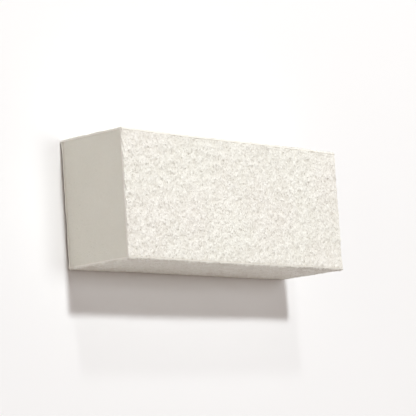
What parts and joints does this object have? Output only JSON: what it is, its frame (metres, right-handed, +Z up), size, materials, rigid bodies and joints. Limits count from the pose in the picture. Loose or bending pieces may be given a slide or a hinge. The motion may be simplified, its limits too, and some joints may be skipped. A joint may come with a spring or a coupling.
{
  "type": "nail buffer block",
  "caption": "Rectangular foam nail buffer block with an abrasive-coated sheet bonded to each long side and bare cut foam ends.",
  "frame": {"origin": "centre of the face it rests on", "axes": "+X along the block's length, +Y from the front side to the rear side, +Z up through its thickness"},
  "size_m": [0.095, 0.038, 0.025],
  "materials": {
    "eva_foam": "white closed-cell foam, cut smooth at the ends",
    "hot_melt_adhesive": "thin cloudy film",
    "backing_paper": "latex-treated paper, seen only at its cut edges",
    "abrasive_coat": "white abrasive grain in white resin, rough and granular"
  },
  "bodies": {
    "root": {"foam_core": "eva_foam", "adhesive_top": "hot_melt_adhesive", "backing_top": "backing_paper", "grit_coat_top": "abrasive_coat", "adhesive_bottom": "hot_melt_adhesive", "backing_bottom": "backing_paper", "grit_coat_bottom": "abrasive_coat", "adhesive_front": "hot_melt_adhesive", "backing_front": "backing_paper", "grit_coat_front": "abrasive_coat", "adhesive_rear": "hot_melt_adhesive", "backing_rear": "backing_paper", "grit_coat_rear": "abrasive_coat"}
  },
  "joints": []
}
